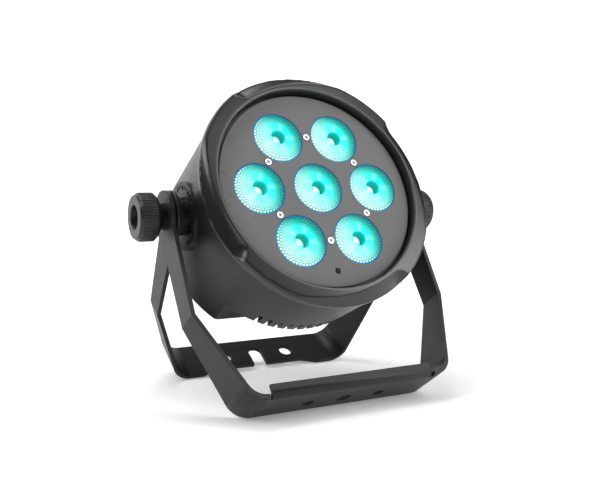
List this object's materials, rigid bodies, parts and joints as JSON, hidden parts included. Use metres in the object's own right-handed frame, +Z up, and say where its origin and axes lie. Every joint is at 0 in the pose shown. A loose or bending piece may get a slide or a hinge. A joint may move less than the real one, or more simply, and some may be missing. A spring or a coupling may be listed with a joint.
{
  "type": "led par can stage light",
  "caption": "Compact round LED par can with collimator lenses in a scalloped bezel, on a folding double floor and hanging bracket clamped by knurled knobs.",
  "frame": {"origin": "on the floor in the middle of the footprint and height box, under the head", "axes": "+X along the pivot axis through both knobs, +Z up, the lamp shines towards -Y and tilts upwards"},
  "size_m": [0.2448, 0.1818, 0.2315],
  "materials": {
    "bracket_paint": "fine satin powder coat",
    "housing_shell": "satin moulded",
    "bezel_shell": "satin moulded",
    "plate_paint": "matt grey paint",
    "lens_clear": "clear collimator lens, lit cyan",
    "emitter": "clear dome over the chips",
    "black_plastic": "matt",
    "knob_plastic": "satin",
    "black_steel": "black oxide",
    "bright_steel": "zinc plated",
    "nylon": "matt",
    "rubber_black": "matt",
    "brass_parts": "turned",
    "board_white": "white solder mask over aluminium",
    "pad_grey": "soft",
    "sink_aluminium": "die cast",
    "sensor_dark": "infrared window",
    "board_green": "solder mask",
    "component_black": "moulded parts",
    "wire_cover": "insulated wire",
    "cover_paint": "satin",
    "fuse_glass": "glass tube",
    "display_dark": "smoked window",
    "button_plastic": "matt"
  },
  "bodies": {
    "front_bracket": {"front_yoke": "bracket_paint", "yoke_washers": "nylon"},
    "rear_bracket": {"rear_yoke": "bracket_paint"},
    "head": {"head_washers": "rubber_black", "housing": "housing_shell", "thread_inserts": "brass_parts", "bezel": "bezel_shell", "bezel_seal": "rubber_black", "face_plate": "plate_paint", "plate_screws": "bright_steel", "lens_1": "lens_clear", "lens_2": "lens_clear", "lens_3": "lens_clear", "lens_4": "lens_clear", "lens_5": "lens_clear", "lens_6": "lens_clear", "lens_7": "lens_clear", "optic_tray": "black_plastic", "tray_screws": "bright_steel", "emitters": "emitter", "led_board": "board_white", "thermal_pad": "pad_grey", "heat_sink": "sink_aluminium", "bezel_screws": "bright_steel", "ir_sensor": "sensor_dark", "driver_board": "board_green", "driver_parts": "component_black", "board_posts": "brass_parts", "wiring": "wire_cover", "rear_cover": "cover_paint", "cover_screws": "black_steel", "power_inlet": "black_plastic", "inlet_pins": "bright_steel", "power_outlet": "black_plastic", "outlet_contacts": "brass_parts", "dmx_in": "black_plastic", "dmx_in_pins": "bright_steel", "dmx_out": "black_plastic", "display_window": "display_dark", "display_board": "board_green", "safety_eye": "bright_steel"},
    "left_washer": {"knob_washer_left": "black_steel"},
    "left_knob": {"knob_left": "knob_plastic", "clamp_screw_left": "black_steel"},
    "right_washer": {"knob_washer_right": "black_steel"},
    "right_knob": {"knob_right": "knob_plastic", "clamp_screw_right": "black_steel"},
    "fuse_carrier": {"fuse_drawer": "black_plastic", "fuse": "fuse_glass"},
    "latch": {"dmx_out_latch": "bright_steel"},
    "button_1": {"button_1": "button_plastic"},
    "button_2": {"button_2": "button_plastic"},
    "button_3": {"button_3": "button_plastic"},
    "button_4": {"button_4": "button_plastic"}
  },
  "joints": [
    {"name": "head_tilt", "type": "hinge", "parent": "front_bracket", "child": "head", "pos_m": [0, 0.0036, 0.1315], "axis": [-1, 0, 0], "continuous": true},
    {"name": "rear_bracket_fold", "type": "hinge", "parent": "front_bracket", "child": "rear_bracket", "pos_m": [0, 0.0036, 0.1315], "axis": [-1, 0, 0], "range_deg": [-282, 60.5]},
    {"name": "left_screw_travel", "type": "slide", "parent": "head", "child": "left_washer", "axis": [-1, 0, 0], "range_m": [0, 0.00347]},
    {"name": "left_knob_turn", "type": "hinge", "parent": "left_washer", "child": "left_knob", "pos_m": [0, 0.0036, 0.1315], "axis": [-1, 0, 0], "range_deg": [0, 1000]},
    {"name": "right_screw_travel", "type": "slide", "parent": "head", "child": "right_washer", "axis": [1, 0, 0], "range_m": [0, 0.00347]},
    {"name": "right_knob_turn", "type": "hinge", "parent": "right_washer", "child": "right_knob", "pos_m": [0, 0.0036, 0.1315], "axis": [1, 0, 0], "range_deg": [0, 1000]},
    {"name": "fuse_drawer_slide", "type": "slide", "parent": "head", "child": "fuse_carrier", "axis": [0, 0.8965, -0.4431], "range_m": [0, 0.022]},
    {"name": "latch_press", "type": "slide", "parent": "head", "child": "latch", "axis": [0, -0.4431, -0.8965], "range_m": [0, 0.0006], "stiffness_N_per_m": 600, "springref_m": -0.0015},
    {"name": "button_1_press", "type": "slide", "parent": "head", "child": "button_1", "axis": [0, -0.8965, 0.4431], "range_m": [0, 0.0008], "stiffness_N_per_m": 500, "springref_m": -0.0015},
    {"name": "button_2_press", "type": "slide", "parent": "head", "child": "button_2", "axis": [0, -0.8965, 0.4431], "range_m": [0, 0.0008], "stiffness_N_per_m": 500, "springref_m": -0.0015},
    {"name": "button_3_press", "type": "slide", "parent": "head", "child": "button_3", "axis": [0, -0.8965, 0.4431], "range_m": [0, 0.0008], "stiffness_N_per_m": 500, "springref_m": -0.0015},
    {"name": "button_4_press", "type": "slide", "parent": "head", "child": "button_4", "axis": [0, -0.8965, 0.4431], "range_m": [0, 0.0008], "stiffness_N_per_m": 500, "springref_m": -0.0015}
  ],
  "couplings": [
    {"joint": "left_knob_turn", "follows": "left_screw_travel", "rad_per_m": 5026.5},
    {"joint": "right_knob_turn", "follows": "right_screw_travel", "rad_per_m": 5026.5}
  ]
}
